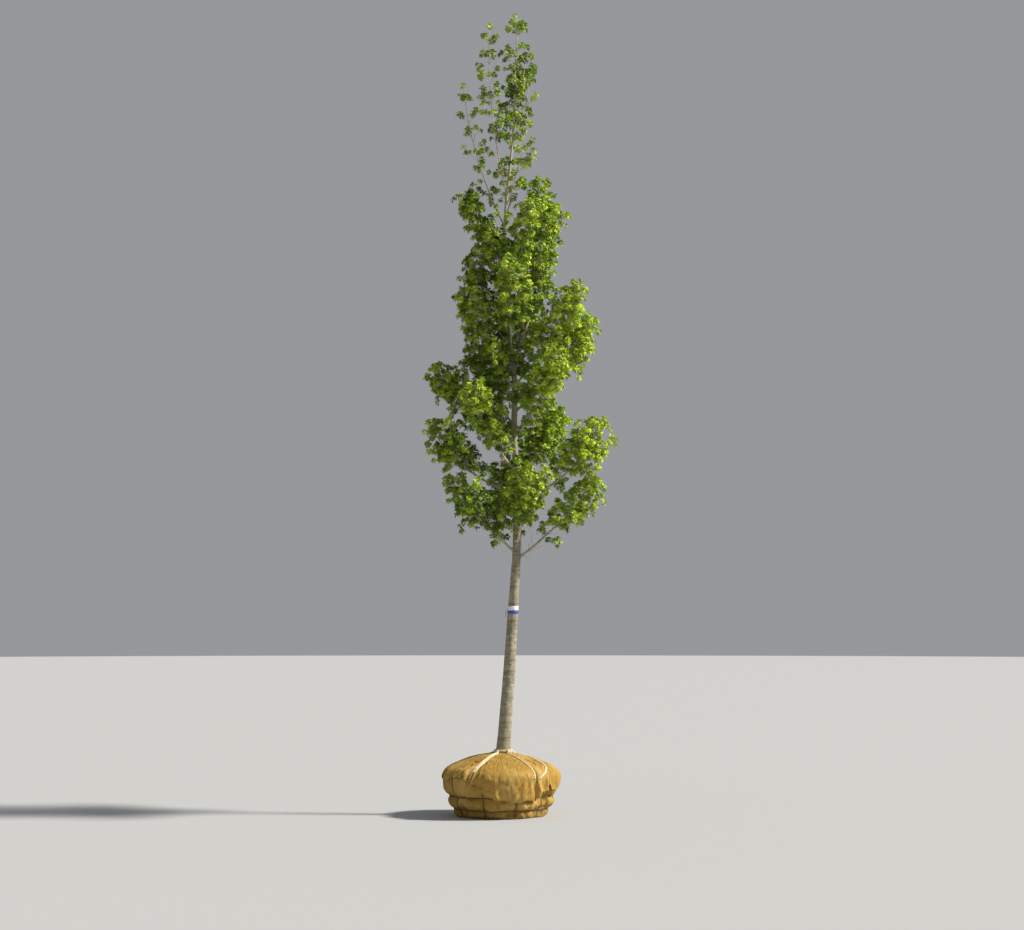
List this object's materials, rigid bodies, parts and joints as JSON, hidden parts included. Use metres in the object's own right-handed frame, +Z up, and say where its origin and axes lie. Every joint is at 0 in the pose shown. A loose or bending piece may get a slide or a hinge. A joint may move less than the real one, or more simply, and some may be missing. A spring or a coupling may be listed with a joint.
{
  "type": "young maple tree on a burlap-wrapped root ball",
  "caption": "Young maple in early leaf with a tall narrow crown, standing on its root ball wrapped in burlap, wire and rope.",
  "frame": {"origin": "middle of the root ball's flat underside, on the level surface that it stands on", "axes": "+Z up, +X to the right and +Y away from the viewer in the picture's view"},
  "size_m": [1.5254, 1.2915, 6.0384],
  "materials": {
    "trunk_bark": "smooth grey-tan young bark with fine level bands",
    "bough_bark": "smooth grey-tan young bark",
    "foliage": "young yellow-green leaves in sprays, on thin grey-tan twigs",
    "burlap": "ochre-tan burlap cloth drawn tight over packed soil",
    "sisal_rope": "cream-white twisted sisal rope",
    "basket_wire": "dull brown weathered steel wire",
    "tape_blue": "blue plastic marking tape",
    "tape_white": "white plastic marking tape"
  },
  "bodies": {
    "root": {"bough_01": "bough_bark", "bough_02": "bough_bark", "bough_03": "bough_bark", "bough_04": "bough_bark", "bough_05": "bough_bark", "bough_06": "bough_bark", "bough_07": "bough_bark", "bough_08": "bough_bark", "bough_09": "bough_bark", "bough_10": "bough_bark", "bough_11": "bough_bark", "bough_12": "bough_bark", "bough_13": "bough_bark", "bough_14": "bough_bark", "bough_15": "bough_bark", "bough_16": "bough_bark", "bough_17": "bough_bark", "bough_18": "bough_bark", "foliage_01": "foliage", "foliage_02": "foliage", "foliage_03": "foliage", "foliage_04": "foliage", "foliage_05": "foliage", "foliage_06": "foliage", "foliage_07": "foliage", "foliage_08": "foliage", "foliage_09": "foliage", "foliage_10": "foliage", "foliage_11": "foliage", "foliage_12": "foliage", "foliage_13": "foliage", "foliage_14": "foliage", "foliage_15": "foliage", "foliage_16": "foliage", "foliage_17": "foliage", "foliage_18": "foliage", "foliage_19": "foliage", "foliage_20": "foliage", "foliage_21": "foliage", "foliage_22": "foliage", "foliage_23": "foliage", "foliage_24": "foliage", "foliage_25": "foliage", "foliage_26": "foliage", "foliage_27": "foliage", "foliage_28": "foliage", "foliage_29": "foliage", "foliage_leader": "foliage", "root_ball": "burlap", "rope_back_left": "sisal_rope", "rope_back_right": "sisal_rope", "rope_collar": "sisal_rope", "rope_front_left": "sisal_rope", "rope_front_right": "sisal_rope", "rope_right_bowed": "sisal_rope", "tape_blue": "tape_blue", "tape_white": "tape_white", "trunk": "trunk_bark", "wire_basket": "basket_wire"}
  },
  "joints": []
}
